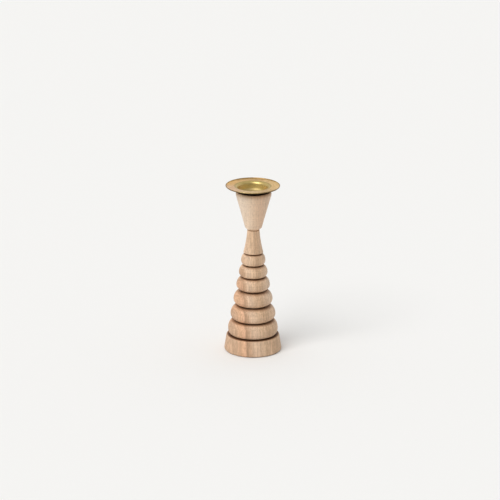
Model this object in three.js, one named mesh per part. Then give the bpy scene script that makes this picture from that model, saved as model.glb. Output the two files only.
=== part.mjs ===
// A turned wooden candlestick with a drop-in brass candle cup.
// Millimetres, +Z up. The origin is on the axis, on the surface that the candlestick stands on.
// Every piece is a solid of revolution about Z, so a point of a profile is (radius, height).

import * as THREE from 'three';

// Driving dimensions of the whole.
const OVERALL_HEIGHT = 139.7;
const ROUND_SEGMENTS = 40;
const DOWEL_SEGMENTS = 24;

// Base.
const FELT_PROUD = 0.3;
const BASE_WIDEST_RADIUS = 23.3;
const BASE_EDGE_ACROSS = 1.1; // the rounding of the bottom edge
const BASE_EDGE_UP = 1.5;
const BASE_EDGE_STEPS = 3;
const BASE_SHOULDER_RADIUS = 21.6;
const BASE_SHOULDER_CHAMFER = 0.7;

// Rings. A groove lies below each ring, and the last groove below the neck.
const GROOVE_HEIGHTS = [13.8, 25.9, 38.5, 51.1, 62.5, 72.7, 82.6];
const GROOVE_WIDTH = 1.1;
const GROOVE_DEPTH = 2.6;
const RINGS = [
  { lowerEdge: 18.9, widest: 20.3, upperEdge: 16.55 },
  { lowerEdge: 14.9, widest: 18.3, upperEdge: 13.4 },
  { lowerEdge: 12.0, widest: 15.9, upperEdge: 10.95 },
  { lowerEdge: 10.0, widest: 13.63, upperEdge: 9.75 },
  { lowerEdge: 9.3, widest: 11.64, upperEdge: 8.05 },
  { lowerEdge: 8.1, widest: 9.87, upperEdge: 6.9 },
];
const RING_WAIST = 0.4; // how far up a ring its widest circle lies
const RING_POWER = 1.2; // 1 is an ellipse, and more is leaner towards the grooves
const UNDER_RING_STEPS = 4;
const OVER_RING_STEPS = 5;

// Neck and the joint between the two turnings.
const NECK_FOOT_RADIUS = 8.1;
const NECK_TOP_RADIUS = 5.0;
const NECK_HOLLOW = 0.5;
const NECK_STEPS = 6;
const JOINT_HEIGHT = 102.4;
const JOINT_CHAMFER = 0.3; // on both turnings, so that the joint shows as a fine line
const GLUE_LINE = 0.15;

// Head.
const HEAD_FOOT_RADIUS = 5.1;
const HEAD_FOOT_HEIGHT = 0.4;
const HEAD_CHAMFER_TOP = 104.4;
const HEAD_CHAMFER_RADIUS = 6.85;
const HEAD_FLARE_TOP = 131.0;
const HEAD_FLARE_RADIUS = 14.2;
const HEAD_HOLLOW = 0.1;
const HEAD_STEPS = 4;
const HEAD_TOP = 134.7;
const HEAD_RIM_RADIUS = 14.4;
const HEAD_RIM_ACROSS = 1.1; // the rounding of the top edge
const HEAD_RIM_UP = 2.1;
const HEAD_RIM_STEPS = 4;
const BORE_RADIUS = 13.0; // leaves the cup some play
const BORE_DEPTH = 6.7;
const BORE_EDGE_CHAMFER = 0.2;

// Dowel that joins the column and the head.
const DOWEL_RADIUS = 3.0;
const DOWEL_REACH = 11.0; // into each of the two turnings
const DOWEL_CHAMFER = 0.6;

// Brass cup.
const FLANGE_RADIUS = 22.0;
const SHEET = 0.6;
const EDGE_BEND_RADIUS = 0.9; // of the flange's turned-up edge, on its upper side
const EDGE_TURN = THREE.MathUtils.degToRad(60); // how far that edge is bent up from level
const LIP_OUTER_RADIUS = 14.7; // where the flat part of the flange ends
const LIP_RADIUS = 2.7; // of the bend between flange and wall, on its upper side
const WALL_SLOPE = THREE.MathUtils.degToRad(78); // from level, so the wall is a cone that grips a candle
const CUP_DEPTH = 7.4; // from the flange down to the floor inside
const CUP_FLOOR_RADIUS = 8.1;
const CUP_FLOOR_FILLET = 3.5;
const CUP_OFFSET = -0.7; // along X: the loose cup stands a little off the axis
const CUP_BEND_STEPS = 5;
const CUP_EDGE_STEPS = 3;
const CUP_TIP_STEPS = 4;

// Felt pad under the base.
const FELT_RADIUS = 19.9;
const FELT_THICKNESS = 1.5;
const FELT_SIDE_CLEARANCE = 0.4;
const FELT_EDGE_ROUNDING = 0.3;

// Heights and radii that follow from the dimensions above.
const FELT_RECESS_CEILING = FELT_THICKNESS + GLUE_LINE;
const EDGE_MIDDLE_RADIUS = EDGE_BEND_RADIUS + SHEET / 2;
const FLANGE_TOP = OVERALL_HEIGHT - EDGE_MIDDLE_RADIUS * (1 - Math.cos(EDGE_TURN));
const CUP_FLOOR = FLANGE_TOP - CUP_DEPTH;
const BORE_FLOOR = HEAD_TOP - BORE_DEPTH;
const DOWEL_HOLE_RADIUS = DOWEL_RADIUS + GLUE_LINE;
const COLUMN_TOP = JOINT_HEIGHT - GLUE_LINE / 2;
const HEAD_BOTTOM = JOINT_HEIGHT + GLUE_LINE / 2;
const DOWEL_BOTTOM = JOINT_HEIGHT - DOWEL_REACH;
const DOWEL_TOP = JOINT_HEIGHT + DOWEL_REACH;

const QUARTER_TURN = Math.PI / 2;

const at = (radius, height) => new THREE.Vector2(radius, height);

// Points along an oval from one angle to another, the first and last included.
function ovalArc({ centre, across, up, from, to, steps, power = 1 }) {
  return Array.from({ length: steps + 1 }, (_, step) => {
    const angle = from + ((to - from) * step) / steps;
    const cosine = Math.cos(angle);
    const reach = Math.sign(cosine) * Math.abs(cosine) ** power;
    return at(centre.x + across * reach, centre.y + up * Math.sin(angle));
  });
}

// Points along a straight flank that is hollowed by up to `hollow` at its middle.
function hollowFlank(start, end, hollow, steps) {
  return Array.from({ length: steps + 1 }, (_, step) => {
    const t = step / steps;
    const point = start.clone().lerp(end, t);
    point.x -= hollow * 4 * t * (1 - t);
    return point;
  });
}

// The profile of ring number `index`, from the groove below it to the groove above it.
function ringProfile(index) {
  const { lowerEdge, widest, upperEdge } = RINGS[index];
  const bottom = GROOVE_HEIGHTS[index] + GROOVE_WIDTH / 2;
  const top = GROOVE_HEIGHTS[index + 1] - GROOVE_WIDTH / 2;
  const pitch = GROOVE_HEIGHTS[index + 1] - GROOVE_HEIGHTS[index];
  const middle = GROOVE_HEIGHTS[index] + RING_WAIST * pitch;
  const under = ovalArc({
    centre: at(lowerEdge, middle),
    across: widest - lowerEdge,
    up: middle - bottom,
    from: -QUARTER_TURN,
    to: 0,
    steps: UNDER_RING_STEPS,
    power: RING_POWER,
  });
  const over = ovalArc({
    centre: at(upperEdge, middle),
    across: widest - upperEdge,
    up: top - middle,
    from: 0,
    to: QUARTER_TURN,
    steps: OVER_RING_STEPS,
    power: RING_POWER,
  });
  return [...under, ...over.slice(1)];
}

// The floor of the groove between a lower edge and an upper edge.
function grooveProfile(index, edgeRadius) {
  const floorRadius = edgeRadius - GROOVE_DEPTH;
  const middle = GROOVE_HEIGHTS[index];
  return [at(floorRadius, middle - GROOVE_WIDTH / 2), at(floorRadius, middle + GROOVE_WIDTH / 2)];
}

function baseProfile() {
  const top = GROOVE_HEIGHTS[0] - GROOVE_WIDTH / 2;
  const recessRadius = FELT_RADIUS + FELT_SIDE_CLEARANCE;
  const bottomEdge = ovalArc({
    centre: at(BASE_WIDEST_RADIUS - BASE_EDGE_ACROSS, FELT_PROUD + BASE_EDGE_UP),
    across: BASE_EDGE_ACROSS,
    up: BASE_EDGE_UP,
    from: -QUARTER_TURN,
    to: 0,
    steps: BASE_EDGE_STEPS,
  });
  return [
    at(0, FELT_RECESS_CEILING),
    at(recessRadius, FELT_RECESS_CEILING),
    at(recessRadius, FELT_PROUD),
    ...bottomEdge,
    at(BASE_SHOULDER_RADIUS, top - BASE_SHOULDER_CHAMFER),
    at(BASE_SHOULDER_RADIUS - BASE_SHOULDER_CHAMFER, top),
  ];
}

function columnProfile() {
  const neckFoot = at(NECK_FOOT_RADIUS, GROOVE_HEIGHTS[RINGS.length] + GROOVE_WIDTH / 2);
  const neckTop = at(NECK_TOP_RADIUS, COLUMN_TOP - JOINT_CHAMFER);
  const points = baseProfile();
  RINGS.forEach((ring, index) => {
    points.push(...grooveProfile(index, ring.lowerEdge), ...ringProfile(index));
  });
  points.push(
    ...grooveProfile(RINGS.length, RINGS[RINGS.length - 1].upperEdge),
    ...hollowFlank(neckFoot, neckTop, NECK_HOLLOW, NECK_STEPS),
    at(NECK_TOP_RADIUS - JOINT_CHAMFER, COLUMN_TOP),
    at(DOWEL_HOLE_RADIUS, COLUMN_TOP),
    at(DOWEL_HOLE_RADIUS, DOWEL_BOTTOM - GLUE_LINE),
    at(0, DOWEL_BOTTOM - GLUE_LINE),
  );
  return points;
}

function headProfile() {
  const flareFoot = at(HEAD_CHAMFER_RADIUS, HEAD_CHAMFER_TOP);
  const flareTop = at(HEAD_FLARE_RADIUS, HEAD_FLARE_TOP);
  const rim = ovalArc({
    centre: at(HEAD_RIM_RADIUS - HEAD_RIM_ACROSS, HEAD_TOP - HEAD_RIM_UP),
    across: HEAD_RIM_ACROSS,
    up: HEAD_RIM_UP,
    from: 0,
    to: QUARTER_TURN,
    steps: HEAD_RIM_STEPS,
  });
  return [
    at(0, DOWEL_TOP + GLUE_LINE),
    at(DOWEL_HOLE_RADIUS, DOWEL_TOP + GLUE_LINE),
    at(DOWEL_HOLE_RADIUS, HEAD_BOTTOM),
    at(HEAD_FOOT_RADIUS - JOINT_CHAMFER, HEAD_BOTTOM),
    at(HEAD_FOOT_RADIUS, HEAD_BOTTOM + JOINT_CHAMFER),
    at(HEAD_FOOT_RADIUS, HEAD_BOTTOM + HEAD_FOOT_HEIGHT),
    ...hollowFlank(flareFoot, flareTop, HEAD_HOLLOW, HEAD_STEPS),
    ...rim,
    at(BORE_RADIUS + BORE_EDGE_CHAMFER, HEAD_TOP),
    at(BORE_RADIUS, HEAD_TOP - BORE_EDGE_CHAMFER),
    at(BORE_RADIUS, BORE_FLOOR),
    at(0, BORE_FLOOR),
  ];
}

function dowelProfile() {
  return [
    at(0, DOWEL_BOTTOM),
    at(DOWEL_RADIUS - DOWEL_CHAMFER, DOWEL_BOTTOM),
    at(DOWEL_RADIUS, DOWEL_BOTTOM + DOWEL_CHAMFER),
    at(DOWEL_RADIUS, DOWEL_TOP - DOWEL_CHAMFER),
    at(DOWEL_RADIUS - DOWEL_CHAMFER, DOWEL_TOP),
    at(0, DOWEL_TOP),
  ];
}

// One surface of the cup's sheet, from the axis out to the flange. `offset` is 0 for the
// surface inside the cup and the sheet's thickness for the one outside it.
function cupSurface(offset) {
  const filletRadius = CUP_FLOOR_FILLET + offset;
  const lipRadius = LIP_RADIUS - offset;
  const fillet = ovalArc({
    centre: at(CUP_FLOOR_RADIUS, CUP_FLOOR + CUP_FLOOR_FILLET),
    across: filletRadius,
    up: filletRadius,
    from: -QUARTER_TURN,
    to: WALL_SLOPE - QUARTER_TURN,
    steps: CUP_BEND_STEPS,
  });
  const lip = ovalArc({
    centre: at(LIP_OUTER_RADIUS, FLANGE_TOP - LIP_RADIUS),
    across: lipRadius,
    up: lipRadius,
    from: QUARTER_TURN + WALL_SLOPE,
    to: QUARTER_TURN,
    steps: CUP_BEND_STEPS,
  });
  return [at(0, CUP_FLOOR - offset), ...fillet, ...lip];
}

// The turned-up edge of the flange, from its lower side round the tip to its upper side.
function edgeProfile() {
  const tipAngle = EDGE_TURN - QUARTER_TURN;
  const centre = at(
    FLANGE_RADIUS - SHEET / 2 - EDGE_MIDDLE_RADIUS * Math.sin(EDGE_TURN),
    FLANGE_TOP + EDGE_BEND_RADIUS,
  );
  const bend = (radius) =>
    ovalArc({
      centre,
      across: radius,
      up: radius,
      from: -QUARTER_TURN,
      to: tipAngle,
      steps: CUP_EDGE_STEPS,
    });
  const tip = ovalArc({
    centre: at(
      centre.x + EDGE_MIDDLE_RADIUS * Math.cos(tipAngle),
      centre.y + EDGE_MIDDLE_RADIUS * Math.sin(tipAngle),
    ),
    across: SHEET / 2,
    up: SHEET / 2,
    from: tipAngle,
    to: tipAngle + 2 * QUARTER_TURN,
    steps: CUP_TIP_STEPS,
  });
  const below = bend(EDGE_BEND_RADIUS + SHEET);
  const above = bend(EDGE_BEND_RADIUS);
  return [...below.slice(0, -1), ...tip, ...above.reverse().slice(1)];
}

function cupProfile() {
  return [...cupSurface(SHEET), ...edgeProfile(), ...cupSurface(0).reverse()];
}

function feltProfile() {
  return [
    at(0, 0),
    at(FELT_RADIUS - FELT_EDGE_ROUNDING, 0),
    at(FELT_RADIUS, FELT_EDGE_ROUNDING),
    at(FELT_RADIUS, FELT_THICKNESS),
    at(0, FELT_THICKNESS),
  ];
}

// A solid turned about Z from a profile that starts and ends on the axis.
function turned(name, profile, segments, material) {
  const geometry = new THREE.LatheGeometry(profile, segments);
  geometry.rotateX(QUARTER_TURN);
  const mesh = new THREE.Mesh(geometry, material);
  mesh.name = name;
  return mesh;
}

const columnWood = new THREE.MeshStandardMaterial({ color: 0xd3ad88, roughness: 0.62, metalness: 0 });
const headWood = new THREE.MeshStandardMaterial({ color: 0xd4b598, roughness: 0.62, metalness: 0 });
const dowelWood = new THREE.MeshStandardMaterial({ color: 0xcdb08a, roughness: 0.7, metalness: 0 });
const brass = new THREE.MeshStandardMaterial({ color: 0xb79a55, roughness: 0.3, metalness: 1 });
const felt = new THREE.MeshStandardMaterial({ color: 0x5a5148, roughness: 0.95, metalness: 0 });

const cup = turned('brass_candle_cup', cupProfile(), ROUND_SEGMENTS, brass);
cup.position.x = CUP_OFFSET;

const candlestick = new THREE.Group();
candlestick.add(
  turned('turned_column', columnProfile(), ROUND_SEGMENTS, columnWood),
  turned('turned_head', headProfile(), ROUND_SEGMENTS, headWood),
  turned('neck_dowel', dowelProfile(), DOWEL_SEGMENTS, dowelWood),
  cup,
  turned('felt_base_pad', feltProfile(), ROUND_SEGMENTS, felt),
);

export default candlestick;
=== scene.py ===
"""Looks of a turned wooden candlestick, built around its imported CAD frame. Metres, +Z up.

Lengths are in millimetres unless they come straight from the frame, and go through MM.
"""

import math

import bmesh
import bpy
from mathutils import Euler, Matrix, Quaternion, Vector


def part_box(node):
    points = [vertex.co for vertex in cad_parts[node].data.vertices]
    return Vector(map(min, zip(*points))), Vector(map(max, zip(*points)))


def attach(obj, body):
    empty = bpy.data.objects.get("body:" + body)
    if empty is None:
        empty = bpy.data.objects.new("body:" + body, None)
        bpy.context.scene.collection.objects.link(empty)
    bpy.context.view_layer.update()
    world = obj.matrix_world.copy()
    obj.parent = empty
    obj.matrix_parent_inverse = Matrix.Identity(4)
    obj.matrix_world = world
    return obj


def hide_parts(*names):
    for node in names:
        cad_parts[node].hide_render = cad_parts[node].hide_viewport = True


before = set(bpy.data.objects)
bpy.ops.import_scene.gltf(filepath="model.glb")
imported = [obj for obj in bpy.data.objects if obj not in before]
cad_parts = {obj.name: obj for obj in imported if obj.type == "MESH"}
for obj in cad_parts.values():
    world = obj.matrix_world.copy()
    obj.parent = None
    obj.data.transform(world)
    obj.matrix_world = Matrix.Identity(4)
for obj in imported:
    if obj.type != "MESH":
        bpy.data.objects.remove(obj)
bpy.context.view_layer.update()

# Where the CAD pieces are, in metres.
MM = 0.001
COLUMN_LOW, COLUMN_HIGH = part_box("turned_column")
HEAD_LOW, HEAD_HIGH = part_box("turned_head")
CUP_LOW, CUP_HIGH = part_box("brass_candle_cup")
DOWEL_LOW, DOWEL_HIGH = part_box("neck_dowel")
FELT_LOW, FELT_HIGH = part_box("felt_base_pad")

SEGMENTS = 192  # in each turned circle
QUARTER_TURN = math.pi / 2

# The column's profile, as in the CAD source.
BASE_EDGE = (1.1, 1.5)  # the oval at the foot: how far in and how far up
BASE_SHOULDER_RADIUS = 21.6
BASE_SHOULDER_CHAMFER = 0.7
GROOVE_HEIGHTS = [13.8, 25.9, 38.5, 51.1, 62.5, 72.7, 82.6]
GROOVE_WIDTH = 1.1
GROOVE_DEPTH = 2.6
RINGS = [  # the radius at the lower edge, at the widest circle and at the upper edge
    (18.9, 20.3, 16.55),
    (14.9, 18.3, 13.4),
    (12.0, 15.9, 10.95),
    (10.0, 13.63, 9.75),
    (9.3, 11.64, 8.05),
    (8.1, 9.87, 6.9),
]
RING_WAIST = 0.4  # how far up a ring its widest circle is, as a share
RING_POWER = 1.2
NECK_FOOT_RADIUS = 8.1
NECK_TOP_RADIUS = 5.0
NECK_HOLLOW = 0.5
COLUMN_TOP = COLUMN_HIGH.z / MM
COLUMN_WEAR = 0.25

# The glued joint, the felt and its recess.
JOINT_CHAMFER = 0.3
GLUE_GAP = 0.15
DOWEL_HOLE_RADIUS = 3.15
FELT_SIDE_CLEARANCE = 0.4
FELT_EDGE = 0.4

# The head's profile.
HEAD_FOOT_RADIUS = 5.1
HEAD_FOOT_HEIGHT = 0.4
HEAD_CHAMFER_TOP = 104.4
HEAD_CHAMFER_RADIUS = 6.85
HEAD_FLARE_TOP = 131.0
HEAD_FLARE_RADIUS = 14.2
HEAD_HOLLOW = 0.1
HEAD_RIM = (1.1, 2.1)  # the oval at the rim: how far in and how far down
HEAD_TOP = HEAD_HIGH.z / MM
HEAD_WEAR = 0.35
BORE_RADIUS = 13.0
BORE_DEPTH = 6.7
BORE_EDGE_CHAMFER = 0.2

# The cup's profile.
SHEET = 0.6
LIP_RADIUS = 2.7
LIP_OUTER_RADIUS = 14.7
WALL_SLOPE = math.radians(78)
CUP_FLOOR = CUP_LOW.z / MM + SHEET
CUP_FLOOR_RADIUS = 8.1
CUP_FLOOR_FILLET = 3.5
EDGE_BEND_RADIUS = 0.9
EDGE_TURN = math.radians(60)
EDGE_MIDDLE_RADIUS = EDGE_BEND_RADIUS + SHEET / 2
FLANGE_TOP = CUP_HIGH.z / MM - EDGE_MIDDLE_RADIUS * (1 - math.cos(EDGE_TURN))


# Profiles: lists of (radius, height)

def oval_arc(centre, across, up, start, end, steps, power=1.0):
    """Points along part of an oval. A power over 1 makes it leaner towards its top and bottom."""
    points = []
    for step in range(steps + 1):
        angle = start + (end - start) * step / steps
        cosine = math.cos(angle)
        reach = math.copysign(abs(cosine) ** power, cosine)
        points.append((centre[0] + across * reach, centre[1] + up * math.sin(angle)))
    return points


def round_arc(centre, radius, start, end, steps):
    return oval_arc(centre, radius, radius, start, end, steps)


def hollow_flank(start, end, hollow, steps):
    """A straight flank, hollowed by up to `hollow` at its middle."""
    points = []
    for step in range(steps + 1):
        t = step / steps
        radius = start[0] + (end[0] - start[0]) * t - hollow * 4 * t * (1 - t)
        points.append((radius, start[1] + (end[1] - start[1]) * t))
    return points


def worn_corner(before, corner, after, reach, most=0.45, steps=3):
    """A small curve in place of a corner, `reach` long on each side, but at most `most` of a side."""
    into = (corner[0] - before[0], corner[1] - before[1])
    away = (after[0] - corner[0], after[1] - corner[1])
    into_share = min(reach, math.hypot(*into) * most) / math.hypot(*into)
    away_share = min(reach, math.hypot(*away) * most) / math.hypot(*away)
    first = (corner[0] - into[0] * into_share, corner[1] - into[1] * into_share)
    last = (corner[0] + away[0] * away_share, corner[1] + away[1] * away_share)
    points = []
    for step in range(steps + 1):
        t = step / steps
        points.append(tuple(
            (1 - t) ** 2 * p + 2 * t * (1 - t) * c + t * t * q
            for p, c, q in zip(first, corner, last)
        ))
    return points


def softened(points, reach, turn_limit=math.radians(28)):
    """The same outline with each sharp corner worn to a small curve."""
    result = [points[0]]
    for before, corner, after in zip(points, points[1:], points[2:]):
        into = (corner[0] - before[0], corner[1] - before[1])
        away = (after[0] - corner[0], after[1] - corner[1])
        turn = math.atan2(into[0] * away[1] - into[1] * away[0], into[0] * away[0] + into[1] * away[1])
        if abs(turn) < turn_limit or corner[0] <= 0:
            result.append(corner)
        else:
            result += worn_corner(before, corner, after, reach)
    result.append(points[-1])
    return result


def ring_profile(index):
    """Ring number `index`, from the groove below it to the groove above it."""
    lower_edge, widest, upper_edge = RINGS[index]
    bottom = GROOVE_HEIGHTS[index] + GROOVE_WIDTH / 2
    top = GROOVE_HEIGHTS[index + 1] - GROOVE_WIDTH / 2
    middle = GROOVE_HEIGHTS[index] + RING_WAIST * (GROOVE_HEIGHTS[index + 1] - GROOVE_HEIGHTS[index])
    under = oval_arc(
        (lower_edge, middle), widest - lower_edge, middle - bottom, -QUARTER_TURN, 0,
        steps=14, power=RING_POWER,
    )
    over = oval_arc(
        (upper_edge, middle), widest - upper_edge, top - middle, 0, QUARTER_TURN,
        steps=20, power=RING_POWER,
    )
    return under + over[1:]


def groove_floor(index, edge_radius):
    """The two inner corners of groove number `index`, cut in from `edge_radius`."""
    radius = edge_radius - GROOVE_DEPTH
    middle = GROOVE_HEIGHTS[index]
    return [(radius, middle - GROOVE_WIDTH / 2), (radius, middle + GROOVE_WIDTH / 2)]


def base_profile():
    """The base, from the middle of the felt's recess to the lowest groove."""
    standing = COLUMN_LOW.z / MM
    recess_radius = FELT_HIGH.x / MM + FELT_SIDE_CLEARANCE
    recess_ceiling = FELT_HIGH.z / MM + GLUE_GAP
    top = GROOVE_HEIGHTS[0] - GROOVE_WIDTH / 2
    edge_in, edge_up = BASE_EDGE
    points = [(0, recess_ceiling), (recess_radius, recess_ceiling), (recess_radius, standing)]
    points += oval_arc(
        (COLUMN_HIGH.x / MM - edge_in, standing + edge_up), edge_in, edge_up, -QUARTER_TURN, 0, steps=8
    )
    points.append((BASE_SHOULDER_RADIUS, top - BASE_SHOULDER_CHAMFER))
    points.append((BASE_SHOULDER_RADIUS - BASE_SHOULDER_CHAMFER, top))
    return points


def neck_profile():
    """The neck, from the highest groove to the bottom of the dowel's hole."""
    hole_bottom = DOWEL_LOW.z / MM - GLUE_GAP
    foot = (NECK_FOOT_RADIUS, GROOVE_HEIGHTS[-1] + GROOVE_WIDTH / 2)
    points = hollow_flank(foot, (NECK_TOP_RADIUS, COLUMN_TOP - JOINT_CHAMFER), NECK_HOLLOW, steps=24)
    points.append((NECK_TOP_RADIUS - JOINT_CHAMFER, COLUMN_TOP))
    points += [(DOWEL_HOLE_RADIUS, COLUMN_TOP), (DOWEL_HOLE_RADIUS, hole_bottom), (0, hole_bottom)]
    return points


def column_profile():
    points = base_profile()
    for index, (lower_edge, _, _) in enumerate(RINGS):
        points += groove_floor(index, lower_edge)
        points += ring_profile(index)
    top_ring_edge = RINGS[-1][2]
    points += groove_floor(len(RINGS), top_ring_edge)
    points += neck_profile()
    return softened(points, COLUMN_WEAR)


def head_profile():
    foot = HEAD_LOW.z / MM
    hole_top = DOWEL_HIGH.z / MM + GLUE_GAP
    bore_floor = HEAD_TOP - BORE_DEPTH
    rim_in, rim_down = HEAD_RIM
    points = [(0, hole_top), (DOWEL_HOLE_RADIUS, hole_top), (DOWEL_HOLE_RADIUS, foot)]
    points.append((HEAD_FOOT_RADIUS - JOINT_CHAMFER, foot))
    points.append((HEAD_FOOT_RADIUS, foot + JOINT_CHAMFER))
    points.append((HEAD_FOOT_RADIUS, foot + HEAD_FOOT_HEIGHT))
    points += hollow_flank(
        (HEAD_CHAMFER_RADIUS, HEAD_CHAMFER_TOP), (HEAD_FLARE_RADIUS, HEAD_FLARE_TOP), HEAD_HOLLOW, steps=28
    )
    points += oval_arc(
        (HEAD_HIGH.x / MM - rim_in, HEAD_TOP - rim_down), rim_in, rim_down, 0, QUARTER_TURN, steps=12
    )
    points.append((BORE_RADIUS + BORE_EDGE_CHAMFER, HEAD_TOP))
    points.append((BORE_RADIUS, HEAD_TOP - BORE_EDGE_CHAMFER))
    points += [(BORE_RADIUS, bore_floor), (0, bore_floor)]
    return softened(points, HEAD_WEAR)


def cup_surface(offset):
    """One side of the sheet, from the axis out to the flange: offset 0 inside, SHEET outside."""
    fillet = round_arc(
        (CUP_FLOOR_RADIUS, CUP_FLOOR + CUP_FLOOR_FILLET), CUP_FLOOR_FILLET + offset,
        -QUARTER_TURN, WALL_SLOPE - QUARTER_TURN, steps=14,
    )
    lip = round_arc(
        (LIP_OUTER_RADIUS, FLANGE_TOP - LIP_RADIUS), LIP_RADIUS - offset,
        QUARTER_TURN + WALL_SLOPE, QUARTER_TURN, steps=16,
    )
    return [(0, CUP_FLOOR - offset)] + fillet + lip


def edge_profile():
    """The turned-up edge of the flange, from its lower side round the tip to its upper side."""
    tip_angle = EDGE_TURN - QUARTER_TURN
    flange_radius = (CUP_HIGH.x - CUP_LOW.x) / 2 / MM
    centre = (
        flange_radius - SHEET / 2 - EDGE_MIDDLE_RADIUS * math.sin(EDGE_TURN),
        FLANGE_TOP + EDGE_BEND_RADIUS,
    )
    tip_centre = (
        centre[0] + EDGE_MIDDLE_RADIUS * math.cos(tip_angle),
        centre[1] + EDGE_MIDDLE_RADIUS * math.sin(tip_angle),
    )
    below = round_arc(centre, EDGE_BEND_RADIUS + SHEET, -QUARTER_TURN, tip_angle, steps=8)
    tip = round_arc(tip_centre, SHEET / 2, tip_angle, tip_angle + math.pi, steps=10)
    above = round_arc(centre, EDGE_BEND_RADIUS, tip_angle, -QUARTER_TURN, steps=8)
    return below[:-1] + tip + above[1:]


def cup_profile():
    return cup_surface(SHEET) + edge_profile() + cup_surface(0)[::-1]


def felt_profile():
    """A flat disc with a rounded cut edge."""
    low = FELT_LOW.z / MM
    high = FELT_HIGH.z / MM
    flat_radius = FELT_HIGH.x / MM - FELT_EDGE
    below = hollow_flank((0, low), (flat_radius, low), 0, steps=12)
    above = hollow_flank((flat_radius, high), (0, high), 0, steps=12)
    rim = oval_arc(
        (flat_radius, (low + high) / 2), FELT_EDGE, (high - low) / 2, -QUARTER_TURN, QUARTER_TURN, steps=8
    )
    return below[:-1] + rim + above[1:]


# Meshes

CREASE = math.radians(40)  # edges that turn by less than this are shaded smooth


def circle(work, axis_x, axis_y, radius, height):
    """The vertices of one turned circle, or the same vertex all round on the axis."""
    if radius <= 1e-6:
        return [work.verts.new((axis_x, axis_y, height * MM))] * SEGMENTS
    return [
        work.verts.new((
            axis_x + radius * MM * math.cos(math.tau * k / SEGMENTS),
            axis_y + radius * MM * math.sin(math.tau * k / SEGMENTS),
            height * MM,
        ))
        for k in range(SEGMENTS)
    ]


def join_circles(work, below, above):
    for k in range(SEGMENTS):
        following = (k + 1) % SEGMENTS
        corners = [below[k], below[following], above[following], above[k]]
        unique = [vertex for i, vertex in enumerate(corners) if vertex not in corners[:i]]
        if len(unique) > 2:
            work.faces.new(unique)


def turned(name, profile, body, node, material):
    """A solid of revolution that stands for a CAD node, on that node's axis, and rides on its body."""
    low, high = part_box(node)
    axis_x = (low.x + high.x) / 2
    axis_y = (low.y + high.y) / 2
    mesh = bpy.data.meshes.new(name)
    work = bmesh.new()
    circles = [circle(work, axis_x, axis_y, radius, height) for radius, height in profile]
    for below, above in zip(circles, circles[1:]):
        join_circles(work, below, above)
    bmesh.ops.recalc_face_normals(work, faces=work.faces)
    for face in work.faces:
        face.smooth = True
    for edge in work.edges:
        edge.smooth = edge.calc_face_angle(0) < CREASE
    work.to_mesh(mesh)
    work.free()
    mesh.materials.append(material)
    piece = bpy.data.objects.new(name, mesh)
    bpy.context.scene.collection.objects.link(piece)
    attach(piece, body)
    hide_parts(node)
    return piece


# Materials

def srgb(red, green, blue):
    """A colour given as it looks, 0 to 255, in the linear values that Blender wants."""
    def linear(value):
        value /= 255
        return value / 12.92 if value <= 0.04045 else ((value + 0.055) / 1.055) ** 2.4
    return linear(red), linear(green), linear(blue)


NOISE_RANGE = (0.3, 0.7)  # nearly all of a noise lies within these


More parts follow.
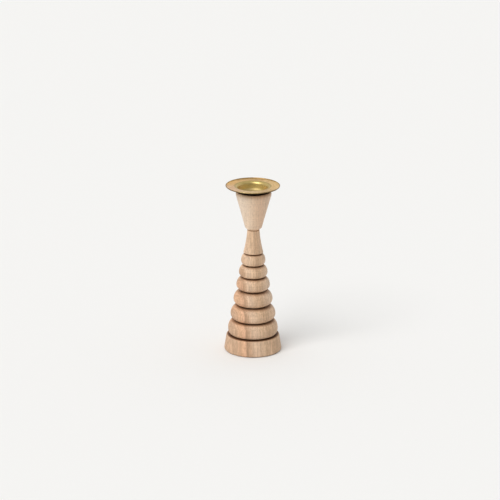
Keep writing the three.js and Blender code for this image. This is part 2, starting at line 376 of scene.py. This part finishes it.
class Graph:
    """A small helper that adds nodes to a material and returns their outputs."""

    def __init__(self, name):
        self.material = bpy.data.materials.new(name)
        self.material.use_nodes = True
        self.tree = self.material.node_tree
        self.shader = self.tree.nodes["Principled BSDF"]

    def put(self, socket, value):
        if isinstance(value, bpy.types.NodeSocket):
            self.tree.links.new(value, socket)
        elif value is not None:
            if socket.type == "RGBA" and len(value) == 3:
                value = (*value, 1)
            socket.default_value = value

    def shade(self, **values):
        """Sets the shader's inputs, whose names are given with underscores for spaces."""
        for name, value in values.items():
            self.put(self.shader.inputs[name.replace("_", " ")], value)

    def node(self, kind, values=(), **settings):
        made = self.tree.nodes.new(kind)
        for key, value in settings.items():
            setattr(made, key, value)
        for key, value in dict(values).items():
            self.put(made.inputs[key], value)
        return made

    def math(self, operation, a, b=None):
        made = self.node("ShaderNodeMath", operation=operation)
        self.put(made.inputs[0], a)
        self.put(made.inputs[1], b)
        return made.outputs[0]

    def plus(self, total, *others):
        for other in others:
            total = self.math("ADD", total, other)
        return total

    def times(self, product, *others):
        for other in others:
            product = self.math("MULTIPLY", product, other)
        return product

    def vector(self, operation, a, b):
        made = self.node("ShaderNodeVectorMath", operation=operation)
        self.put(made.inputs[0], a)
        self.put(made.inputs[1], b)
        return made.outputs[0]

    def stretch(self, vector, factors):
        return self.vector("MULTIPLY", vector, factors)

    def combine(self, x, y, z):
        return self.node("ShaderNodeCombineXYZ", {"X": x, "Y": y, "Z": z}).outputs[0]

    def split(self, vector):
        return self.node("ShaderNodeSeparateXYZ", {"Vector": vector}).outputs

    def place(self):
        """The place in the object, in millimetres."""
        return self.stretch(self.node("ShaderNodeTexCoord").outputs["Object"], (1 / MM, 1 / MM, 1 / MM))

    def facing(self):
        """How far the surface faces up: 1 for up, -1 for down."""
        return self.split(self.node("ShaderNodeTexCoord").outputs["Normal"])["Z"]

    def from_axis(self, x, y):
        return self.math("SQRT", self.plus(self.times(x, x), self.times(y, y)))

    def noise(self, vector, scale=1.0, detail=2.0, roughness=0.5):
        values = {"Vector": vector, "Scale": scale, "Detail": detail, "Roughness": roughness}
        return self.node("ShaderNodeTexNoise", values).outputs["Fac"]

    def ramp(self, value, stops):
        made = self.node("ShaderNodeValToRGB", {"Fac": value})
        elements = made.color_ramp.elements
        while len(elements) < len(stops):
            elements.new(0.5)
        for element, (position, colour) in zip(elements, stops):
            element.position = position
            element.color = (*colour, 1)
        return made.outputs["Color"]

    def remap(self, value, low, high, to_low=0.0, to_high=1.0):
        values = {"Value": value, "From Min": low, "From Max": high, "To Min": to_low, "To Max": to_high}
        return self.node("ShaderNodeMapRange", values).outputs["Result"]

    def mix(self, factor, a, b, blend="MIX"):
        made = self.node("ShaderNodeMix", data_type="RGBA", blend_type=blend)
        self.put(made.inputs[0], factor)
        self.put(made.inputs[6], a)
        self.put(made.inputs[7], b)
        return made.outputs[2]

    def bump(self, height, strength, depth):
        values = {"Height": height, "Strength": strength, "Distance": depth * MM}
        return self.node("ShaderNodeBump", values).outputs[0]


# Wood. Growth-layer colours are (millimetres from the axis, colour).
DARK_LAYER = -14.0
ROOT_HEIGHT = 48.0  # below this the layers spread apart
NECK_DARK_HEIGHT = 84.0  # from here up to its top the neck pales
COLUMN_SPAN = 22.0
COLUMN_LAYERS = [
    (-20.0, srgb(204, 169, 139)),
    (-17.9, srgb(207, 167, 135)),
    (-17.2, srgb(219, 176, 141)),
    (-14.4, srgb(216, 172, 139)),
    (-14.0, srgb(191, 153, 122)),
    (-12.6, srgb(200, 165, 135)),
    (-11.4, srgb(219, 187, 158)),
    (-9.6, srgb(220, 188, 159)),
    (-8.0, srgb(215, 183, 152)),
    (-6.5, srgb(208, 175, 143)),
    (-5.5, srgb(211, 178, 147)),
    (-4.4, srgb(201, 167, 135)),
    (-1.0, srgb(201, 169, 138)),
    (2.0, srgb(212, 181, 152)),
    (6.0, srgb(219, 191, 164)),
    (12.0, srgb(213, 188, 163)),
    (18.0, srgb(224, 201, 179)),
]
HEAD_SPAN = 16.0
HEAD_LAYERS = [
    (-12.0, srgb(234, 212, 189)),
    (-6.0, srgb(233, 206, 179)),
    (-1.0, srgb(226, 194, 164)),
    (3.0, srgb(222, 188, 159)),
    (7.0, srgb(215, 186, 159)),
    (12.0, srgb(214, 188, 165)),
]
LAYER_BEND = 0.004
LAYER_SWAY = 2.0

# Figure that changes the brightness, as (noise scale, by how much either way).
BROAD_LINES = (0.45, 0.10)
FINE_LINES = (1.3, 0.14)
THIN_STREAKS = (1.0, 0.17)
TOOL_CIRCLES = (1.3, 0.09)
FIBRES = 0.08
TOOL_MARK_SCALE = 5.0

# Flecks: from how near a cell's middle they show, in which patches, and how strongly on side grain and
# on end grain.
FLECK_REACH = (0.34, 0.14)
FLECK_PATCHES = (0.45, 0.6)
FLECK_STRENGTHS = (0.30, 0.55)

# How far a face has to look up or down to be end grain, and how brown the end grain gets; this browning
# also paints the shade on the ledges under the rings.
END_GRAIN_FACING = (0.65, 1.0)
END_GRAIN_FLECK_FACING = (0.2, 0.7)
END_GRAIN_BROWN_AND_SHADE = 0.6

# How closely each kind of figure is packed across, along and up the grain.
LINE_PACKING = (1, 0.12, 0.012)
SWAY_PACKING = (0.05, 0.05, 0.012)
STREAK_PACKING = (1.25, 1.25, 0.09)
FIBRE_PACKING = (6.0, 6.0, 0.3)
FLECK_PACKING = (0.95, 0.95, 0.42)
FLECK_PATCH_PACKING = (0.5, 0.5, 0.2)

# Painted shade in the grooves, at the joint's corner and on the base's ledge, as brown colours that
# multiply the wood's.
UNSHADED = (1.0, 1.0, 1.0)
LOWEST_GROOVE_SHADE = (0.30, 0.22, 0.16)
HIGHEST_GROOVE_SHADE = (0.62, 0.50, 0.40)
JOINT_SHADE = (0.80, 0.70, 0.60)
JOINT_SHADE_HEIGHTS = (102.3, 103.3)
GROOVE_SHADE_REACH = 0.4
BASE_GROOVE_SHADE_REACH = 0.8
GROOVE_SHADE_FADE = 0.3
LEDGE_SHADE_RADII = (19.8, 21.2)  # on the base's wide ledge the painted shade fades between these
LEDGE_SHADE = 0.35

# Painted shade under the flange: a warm brown that stands in for light bounced off the brass.
RIM_PAINTED_SHADE = (1.0, 0.86, 0.70)
RIM_PAINTED_SHADE_HEIGHTS = (131.6, 134.4)


def layer_ramp(graph, layer, layers, span):
    """The colour at a growth layer, for layers within `span` of the axis."""
    stops = [((place + span) / (2 * span), colour) for place, colour in layers]
    return graph.ramp(graph.remap(layer, -span, span), stops)


def across_layers(graph, place, tilt, turn):
    """How far a place is across the growth layers and along them, with the layers a little wavy."""
    spun = graph.node("ShaderNodeVectorRotate", {"Vector": place, "Angle": turn}, rotation_type="Z_AXIS")
    x, along, height = graph.split(spun.outputs[0])
    bend = graph.times(graph.times(along, along), LAYER_BEND)
    sway = graph.noise(graph.stretch(place, SWAY_PACKING), detail=1.0)
    sway = graph.times(graph.math("SUBTRACT", sway, 0.5), LAYER_SWAY)
    return graph.plus(x, graph.times(height, tilt), bend, sway), along


def spread_layers(graph, across, height, root_spread):
    """The layer at a place. Layers spread apart towards the root, inside the darkest one."""
    inside = graph.math("MAXIMUM", graph.math("SUBTRACT", across, DARK_LAYER), 0)
    spread = graph.remap(height, ROOT_HEIGHT, 0, 1.0, 1.0 + root_spread)
    outside = graph.math("MINIMUM", across, DARK_LAYER)
    return graph.plus(outside, graph.math("DIVIDE", inside, spread))


def streaks(graph, vector, kind, figure):
    """Noise as a brightness around 1. `figure` makes it stronger or weaker."""
    scale, spread = kind
    spread *= figure
    noise = graph.noise(vector, scale, detail=3.0, roughness=0.6)
    return graph.remap(noise, *NOISE_RANGE, 1 - spread, 1 + spread)


def flecks(graph, place):
    """Pores and ray flecks: 1 in a short dash, and 0 elsewhere."""
    values = {"Vector": graph.stretch(place, FLECK_PACKING), "Scale": 1.0}
    dash = graph.node("ShaderNodeTexVoronoi", values).outputs["Distance"]
    patch = graph.noise(graph.stretch(place, FLECK_PATCH_PACKING), detail=0.0)
    return graph.times(graph.remap(dash, *FLECK_REACH), graph.remap(patch, *FLECK_PATCHES))


def groove_shade(graph, height):
    """Painted shade in each groove and at the joint's corner, a brown to multiply by."""
    stops = []

    def add_band(low, high, colour):
        stops.append(((low - GROOVE_SHADE_FADE) / HEAD_TOP, UNSHADED))
        stops.append((low / HEAD_TOP, colour))
        stops.append((high / HEAD_TOP, colour))
        stops.append(((high + GROOVE_SHADE_FADE) / HEAD_TOP, UNSHADED))

    for index, middle in enumerate(GROOVE_HEIGHTS):
        below = GROOVE_SHADE_REACH if index else BASE_GROOVE_SHADE_REACH
        share = index / (len(GROOVE_HEIGHTS) - 1)
        groove_shade_colour = [low + (high - low) * share for low, high in zip(LOWEST_GROOVE_SHADE, HIGHEST_GROOVE_SHADE)]
        add_band(middle - below, middle + GROOVE_SHADE_REACH, groove_shade_colour)
    add_band(*JOINT_SHADE_HEIGHTS, JOINT_SHADE)
    return graph.ramp(graph.remap(height, 0, HEAD_TOP), stops)


def wood(name, layers, span, tilt, turn, seed, brown, roughness, figure, root_spread=0.0, top_gain=1.0):
    """Straight-grained, fine-pored hardwood. `brown` is the colour of its pores and end grain, and
    `top_gain` is how much the neck pales towards its top."""
    graph = Graph(name)
    place = graph.place()
    x, y, z = graph.split(place)
    radius = graph.from_axis(x, y)
    across, along = across_layers(graph, place, tilt, turn)
    layer = spread_layers(graph, across, z, root_spread)
    colour = layer_ramp(graph, layer, layers, span)

    # Growth lines, thin streaks and fibres, all long along the grain, and the tool's faint circles.
    lines = graph.stretch(graph.combine(across, along, z), LINE_PACKING)
    lines = graph.vector("ADD", lines, (seed, 0, 0))
    fibre = graph.noise(graph.stretch(place, FIBRE_PACKING), detail=4.0, roughness=0.7)
    turning = graph.combine(radius, 0, z)
    shade = graph.times(
        streaks(graph, lines, BROAD_LINES, figure),
        streaks(graph, lines, FINE_LINES, figure),
        graph.remap(z, NECK_DARK_HEIGHT, COLUMN_TOP, 1.0, top_gain),
        streaks(graph, graph.stretch(place, STREAK_PACKING), THIN_STREAKS, figure),
        graph.remap(fibre, *NOISE_RANGE, 1 + FIBRES, 1 - FIBRES),
        streaks(graph, turning, TOOL_CIRCLES, figure),
    )
    colour = graph.stretch(colour, graph.combine(shade, shade, shade))

    # End grain, on the faces that look up or down, is browner and has stronger flecks; the browning also
    # paints the shade on the ledges under the rings.
    end_grain = graph.math("ABSOLUTE", graph.facing())
    fleck = flecks(graph, place)
    fleck_strength = graph.remap(end_grain, *END_GRAIN_FLECK_FACING, *FLECK_STRENGTHS)
    colour = graph.mix(graph.remap(end_grain, *END_GRAIN_FACING, 0.0, END_GRAIN_BROWN_AND_SHADE), colour, brown)
    colour = graph.mix(graph.times(fleck, fleck_strength), colour, brown)

    # Painted shade in the grooves, at the joint and on the ledge, and warm painted shade under the flange.
    groove_shade_share = graph.remap(radius, *LEDGE_SHADE_RADII, 1.0, LEDGE_SHADE)
    colour = graph.mix(groove_shade_share, colour, groove_shade(graph, z), "MULTIPLY")
    colour = graph.mix(graph.remap(z, *RIM_PAINTED_SHADE_HEIGHTS), colour, RIM_PAINTED_SHADE, "MULTIPLY")

    tool_marks = graph.noise(turning, TOOL_MARK_SCALE, detail=3.0, roughness=0.7)
    height = graph.plus(graph.times(fibre, 0.5), graph.times(tool_marks, 0.6))
    height = graph.math("SUBTRACT", height, graph.times(fleck, 0.5))
    graph.shade(
        Base_Color=colour,
        Roughness=graph.remap(fibre, *NOISE_RANGE, roughness - 0.06, roughness + 0.08),
        Specular_IOR_Level=0.35,
        Normal=graph.bump(height, strength=0.35, depth=0.06),
    )
    return graph.material


# Brass. Places are from the cup's own axis, and the candlestick's left is -X and its far side +Y.
# The flange's colours by side are painted reflections of its uneven shine.
FLANGE_NEAR_LEFT = srgb(234, 199, 162)
FLANGE_FAR_LEFT = srgb(236, 192, 118)
FLANGE_RIGHT = srgb(238, 204, 140)
FLANGE_FAR = srgb(208, 172, 112)
FLANGE_NEAR = srgb(226, 204, 146)
FLANGE_NEAR_RIGHT = srgb(188, 158, 112)
FLANGE_MOTTLE = srgb(188, 146, 92)
FLANGE_RINGS = srgb(196, 150, 84)
# Inside the socket: painted reflection, with paler painted light on the sides of its wall.
SOCKET_WALL = srgb(198, 176, 112)
SOCKET_WALL_BLOTCH = srgb(210, 187, 124)
SOCKET_BOTTOM = srgb(186, 167, 122)
SOCKET_SIDE = srgb(228, 202, 146)
LIP_DARK_RING = srgb(154, 128, 66)
# Painted shade on the turned-up edge, standing in for its dark reflection.
EDGE_PAINTED_SHADE = srgb(126, 100, 62)
# The darkened underside: near-black painted shadow under the flange, a dull dark brown lower down.
UNDERSIDE_BELOW_HEAD = srgb(116, 90, 54)
UNDER_FLANGE_PAINTED_SHADOW = srgb(46, 28, 14)
PAINTED_REFLECTION_STRAY = 12.0  # how far the borders of the painted reflections wander
BLOTCH_SCALE = 0.16
MOTTLE_SCALE = 0.7
SPUN_CIRCLE_SCALE = 7.0
RING_SCALE = 0.8
PATCHES = (0.45, 0.62)  # the noise levels between which a patch sets in

# Between which places each painted reflection, painted shade, darker ring and mottle sets in, and how
# strong it gets.
FAR_LEFT_Y = (-3, 6)
RIGHT_X = (-4, 10)
FAR_Y = (13, 19)
NEAR_Y = (-14, -19)
NEAR_RIGHT_X = (3, 9)
NEAR_RIGHT_Y = (-6, -12)
NEAR_RIGHT_STRENGTH = 0.65
MOTTLE_STRENGTH = 0.5
RING_STRENGTH = 0.4
SOCKET_RADII = (15.6, 13.8)
SOCKET_BOTTOM_HEIGHTS = (CUP_FLOOR + 2.5, CUP_FLOOR + 0.5)
SOCKET_SIDE_X = (7.5, 10.5)
SOCKET_SIDE_RADII = (12.6, 12.0)
LIP_RING_OUTER_RADII = (15.6, 14.7)
LIP_RING_INNER_RADII = (13.2, 14.1)
LIP_RING_STRENGTH = 0.45
EDGE_RADII = (20.9, 21.8)
EDGE_STRENGTHS = (0.55, 0.95)
FRONT_HIGHLIGHT_X = (9, 4)
FRONT_HIGHLIGHT_Y = (-17, -20)
FRONT_HIGHLIGHT_STRENGTH = 0.45
FAR_EDGE_Y = (10, 14)
FAR_EDGE_RADII = (20.7, 21.1)
FAR_EDGE_STRENGTH = 0.55
UNDERSIDE_RADII = (20.6, 20.2)
UNDERSIDE_FACING = (-0.02, -0.10)
UNDERSIDE_EDGE_FACING = (-0.52, -0.72)
UNDER_FLANGE_SHADOW_HEIGHTS = (HEAD_TOP - 1.4, HEAD_TOP + 0.2)

# The roughness of the polished side, and what the socket's floor and the darkened underside add.
BRASS_ROUGHNESS = (0.36, 0.47)
DULL_FLOOR_RADII = (12.2, 11.4)
DULL_FLOOR = 0.14
UNDERSIDE_ROUGHNESS = 0.3


def flange_colour(graph, x, y, radius, blotch, mottle):
    """Painted reflections, the flange's uneven shine set down as colour: rosy at the near left, orange at
    the far left, yellow at the right, paler at the near side and darker at the near right and far side;
    over them a random mottle and faint spun rings.
    """
    stray = graph.times(graph.math("SUBTRACT", blotch, 0.5), PAINTED_REFLECTION_STRAY)
    across = graph.plus(x, stray)
    away = graph.plus(y, stray)
    near_right = graph.times(
        graph.remap(x, *NEAR_RIGHT_X), graph.remap(y, *NEAR_RIGHT_Y), NEAR_RIGHT_STRENGTH
    )
    rings = graph.noise(graph.combine(graph.times(radius, RING_SCALE), 0, 0), roughness=0.6)
    colour = graph.mix(graph.remap(away, *FAR_LEFT_Y), FLANGE_NEAR_LEFT, FLANGE_FAR_LEFT)
    colour = graph.mix(graph.remap(across, *RIGHT_X), colour, FLANGE_RIGHT)
    colour = graph.mix(graph.remap(away, *FAR_Y), colour, FLANGE_FAR)
    colour = graph.mix(graph.remap(away, *NEAR_Y), colour, FLANGE_NEAR)
    colour = graph.mix(near_right, colour, FLANGE_NEAR_RIGHT)
    colour = graph.mix(graph.remap(mottle, *PATCHES, 0.0, MOTTLE_STRENGTH), colour, FLANGE_MOTTLE)
    return graph.mix(graph.remap(rings, *PATCHES, 0.0, RING_STRENGTH), colour, FLANGE_RINGS)


def socket_colour(graph, x, z, radius, blotch):
    """Painted reflection inside the socket: a duller colour for how its hollow reflects the room, greyer
    on its floor, with paler painted light on the sides of its wall.
    """
    colour = graph.mix(graph.remap(blotch, 0.35, 0.65), SOCKET_WALL, SOCKET_WALL_BLOTCH)
    colour = graph.mix(graph.remap(z, *SOCKET_BOTTOM_HEIGHTS), colour, SOCKET_BOTTOM)
    sideways = graph.remap(graph.math("ABSOLUTE", x), *SOCKET_SIDE_X)
    side = graph.times(sideways, graph.remap(radius, *SOCKET_SIDE_RADII))
    return graph.mix(side, colour, SOCKET_SIDE)


def edge_painted_shade(graph, x, y, radius, mottle):
    """How much painted shade lies on the turned-up edge, standing in for its dark reflection. It is
    lighter at the front, a painted highlight, and darker at the far edge, where it tones down a
    reflection.
    """
    front_highlight = graph.times(graph.remap(y, *FRONT_HIGHLIGHT_Y), graph.remap(x, *FRONT_HIGHLIGHT_X))
    edge_shade = graph.times(
        graph.remap(radius, *EDGE_RADII),
        graph.remap(mottle, 0.25, 0.55, *EDGE_STRENGTHS),
        graph.remap(front_highlight, 0, 1, 1.0, FRONT_HIGHLIGHT_STRENGTH),
    )
    far_edge = graph.times(
        graph.remap(y, *FAR_EDGE_Y), graph.remap(radius, *FAR_EDGE_RADII), FAR_EDGE_STRENGTH
    )
    return graph.math("MAXIMUM", edge_shade, far_edge)


def underside_shade_share(graph, radius):
    """1 on the underside and the bend of the edge, darkened as painted shade, and 0 on the polished side.
    """
    facing = graph.facing()
    below = graph.times(graph.remap(facing, *UNDERSIDE_FACING), graph.remap(radius, *UNDERSIDE_RADII))
    return graph.math("MAXIMUM", below, graph.remap(facing, *UNDERSIDE_EDGE_FACING))


def brass(name):
    """Spun sheet brass, with fine circles from the spinning."""
    graph = Graph(name)
    cup_middle = (CUP_LOW.x + CUP_HIGH.x) / 2 / MM
    place = graph.vector("SUBTRACT", graph.place(), (cup_middle, 0, 0))
    x, y, z = graph.split(place)
    radius = graph.from_axis(x, y)
    blotch = graph.noise(place, BLOTCH_SCALE, detail=3.0, roughness=0.6)
    mottle = graph.noise(place, MOTTLE_SCALE, detail=4.0, roughness=0.65)
    spun = graph.noise(graph.combine(radius, 0, z), SPUN_CIRCLE_SCALE, detail=3.0, roughness=0.7)

    # Painted reflections on the flange and in the socket, where the socket's colour takes over.
    colour = graph.mix(
        graph.remap(radius, *SOCKET_RADII),
        flange_colour(graph, x, y, radius, blotch, mottle),
        socket_colour(graph, x, z, radius, blotch),
    )
    # A darker ring round the lip of the socket.
    lip_ring = graph.times(
        graph.remap(radius, *LIP_RING_OUTER_RADII), graph.remap(radius, *LIP_RING_INNER_RADII), LIP_RING_STRENGTH
    )
    colour = graph.mix(lip_ring, colour, LIP_DARK_RING)
    # Painted shade on the turned-up edge, with a painted highlight at its front.
    colour = graph.mix(edge_painted_shade(graph, x, y, radius, mottle), colour, EDGE_PAINTED_SHADE)
    # The darkened underside: near-black painted shadow in the gap under the flange, and a dull dark brown
    # below the head's top.
    underside_dark = underside_shade_share(graph, radius)
    underside_colour = graph.mix(graph.remap(z, *UNDER_FLANGE_SHADOW_HEIGHTS), UNDERSIDE_BELOW_HEAD, UNDER_FLANGE_PAINTED_SHADOW)
    colour = graph.mix(underside_dark, colour, underside_colour)

    height = graph.plus(graph.times(spun, 0.8), graph.times(mottle, 0.4))
    graph.shade(
        Base_Color=colour,
        Metallic=1.0,
        Roughness=graph.plus(
            graph.remap(mottle, *NOISE_RANGE, *BRASS_ROUGHNESS),
            graph.remap(radius, *DULL_FLOOR_RADII, 0.0, DULL_FLOOR),
            graph.times(underside_dark, UNDERSIDE_ROUGHNESS),
        ),
        Normal=graph.bump(height, strength=0.30, depth=0.05),
    )
    return graph.material


FELT_DARK = srgb(70, 63, 55)
FELT_PALE = srgb(124, 113, 99)
FELT_PACKING = (6.0, 2.2, 6.0)


def felt(name):
    """Pressed wool felt: short matted fibres with a dull nap."""
    graph = Graph(name)
    place = graph.place()
    swirl = graph.noise(place, 0.7, detail=3.0, roughness=0.6)
    bent = graph.vector("ADD", place, graph.combine(graph.times(swirl, 3.0), swirl, 0))
    fibres = graph.noise(graph.stretch(bent, FELT_PACKING), detail=5.0, roughness=0.75)
    graph.shade(
        Base_Color=graph.mix(graph.remap(fibres, 0.35, 0.7), FELT_DARK, FELT_PALE),
        Roughness=0.95,
        Sheen_Weight=0.3,
        Normal=graph.bump(fibres, strength=0.8, depth=0.2),
    )
    return graph.material


# Pieces

column_wood = wood(
    "column_wood", COLUMN_LAYERS, COLUMN_SPAN, tilt=-0.03, turn=-0.49, seed=52.0,
    brown=srgb(150, 106, 70), roughness=0.6, figure=1.1, root_spread=1.6, top_gain=1.17,
)
head_wood = wood(
    "head_wood", HEAD_LAYERS, HEAD_SPAN, tilt=-0.03, turn=0.0, seed=41.0,
    brown=srgb(176, 132, 98), roughness=0.6, figure=0.6,
)
dowel_wood = wood(
    "dowel_wood", HEAD_LAYERS, HEAD_SPAN, tilt=0.02, turn=1.3, seed=77.0,
    brown=srgb(176, 138, 98), roughness=0.7, figure=0.6,
)
brass_metal = brass("spun_brass")
felt_cloth = felt("wool_felt")

turned("turned_column_wood", column_profile(), "holder", "turned_column", column_wood)
turned("turned_head_wood", head_profile(), "holder", "turned_head", head_wood)
turned("spun_candle_cup", cup_profile(), "candle_cup", "brass_candle_cup", brass_metal)
felt_disc = turned("wool_felt_disc", felt_profile(), "holder", "felt_base_pad", felt_cloth)
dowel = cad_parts["neck_dowel"]
dowel.data.materials.clear()
dowel.data.materials.append(dowel_wood)


# Studio

FLOOR_RADIUS = 6.0  # in metres
FLOOR_COLOUR = (0.885, 0.89, 0.89)
SKY_COLOUR = (1.0, 0.99, 0.975)
SKY_BEHIND = 0.92  # how bright the surroundings are behind the candlestick
SKY_AHEAD = 0.34  # and behind the camera
KEY_COLOUR = (1.0, 0.985, 0.96)
CAMERA_DISTANCE = 2.1177  # in metres
CAMERA_HEIGHT = 0.7802
CAMERA_DOWN = math.radians(18.18)
CAMERA_LEFT = math.radians(0.073)
CAMERA_ROLL = math.radians(0.29)
CAMERA_LENS = 198.0


def add_floor():
    graph = Graph("floor_paint")
    graph.shade(Base_Color=FLOOR_COLOUR, Roughness=0.9, Specular_IOR_Level=0.1)
    mesh = bpy.data.meshes.new("studio_floor")
    work = bmesh.new()
    bmesh.ops.create_circle(work, cap_ends=True, radius=FLOOR_RADIUS, segments=64)
    work.to_mesh(mesh)
    work.free()
    mesh.materials.append(graph.material)
    floor = bpy.data.objects.new("studio_floor", mesh)
    bpy.context.scene.collection.objects.link(floor)


def add_key(azimuth, elevation, spread, strength):
    """A soft key light from far away. Azimuth 0 is the camera's side and 90 the candlestick's left."""
    light = bpy.data.lights.new("key", "SUN")
    light.angle = math.radians(spread)
    light.energy = strength
    light.color = KEY_COLOUR
    holder = bpy.data.objects.new("key", light)
    holder.rotation_euler = (math.radians(90 - elevation), 0, -math.radians(azimuth))
    bpy.context.scene.collection.objects.link(holder)


def add_world():
    """Even, pale surroundings, a little darker behind the camera than behind the candlestick."""
    world = bpy.data.worlds.new("studio_world")
    world.use_nodes = True
    tree = world.node_tree
    background = tree.nodes["Background"]
    background.inputs["Color"].default_value = (*SKY_COLOUR, 1)
    direction = tree.nodes.new("ShaderNodeTexCoord")
    parts = tree.nodes.new("ShaderNodeSeparateXYZ")
    fade = tree.nodes.new("ShaderNodeMapRange")
    fade.inputs["From Min"].default_value = -1
    fade.inputs["From Max"].default_value = 1
    fade.inputs["To Min"].default_value = SKY_AHEAD
    fade.inputs["To Max"].default_value = SKY_BEHIND
    tree.links.new(direction.outputs["Generated"], parts.inputs[0])
    tree.links.new(parts.outputs["Y"], fade.inputs["Value"])
    tree.links.new(fade.outputs["Result"], background.inputs["Strength"])
    bpy.context.scene.world = world


def add_camera():
    lens = bpy.data.cameras.new("camera")
    lens.lens = CAMERA_LENS
    lens.sensor_width = 36
    lens.clip_start = 0.1
    lens.clip_end = 30
    camera = bpy.data.objects.new("camera", lens)
    camera.location = (0, -CAMERA_DISTANCE, CAMERA_HEIGHT)
    aim = Euler((QUARTER_TURN - CAMERA_DOWN, 0, CAMERA_LEFT)).to_quaternion()
    camera.rotation_euler = (aim @ Quaternion((0, 0, 1), CAMERA_ROLL)).to_euler()
    bpy.context.scene.collection.objects.link(camera)
    bpy.context.scene.camera = camera


add_floor()
add_world()
add_key(azimuth=41, elevation=52, spread=36, strength=1.62)
add_camera()
bpy.context.scene.view_settings.view_transform = "Standard"
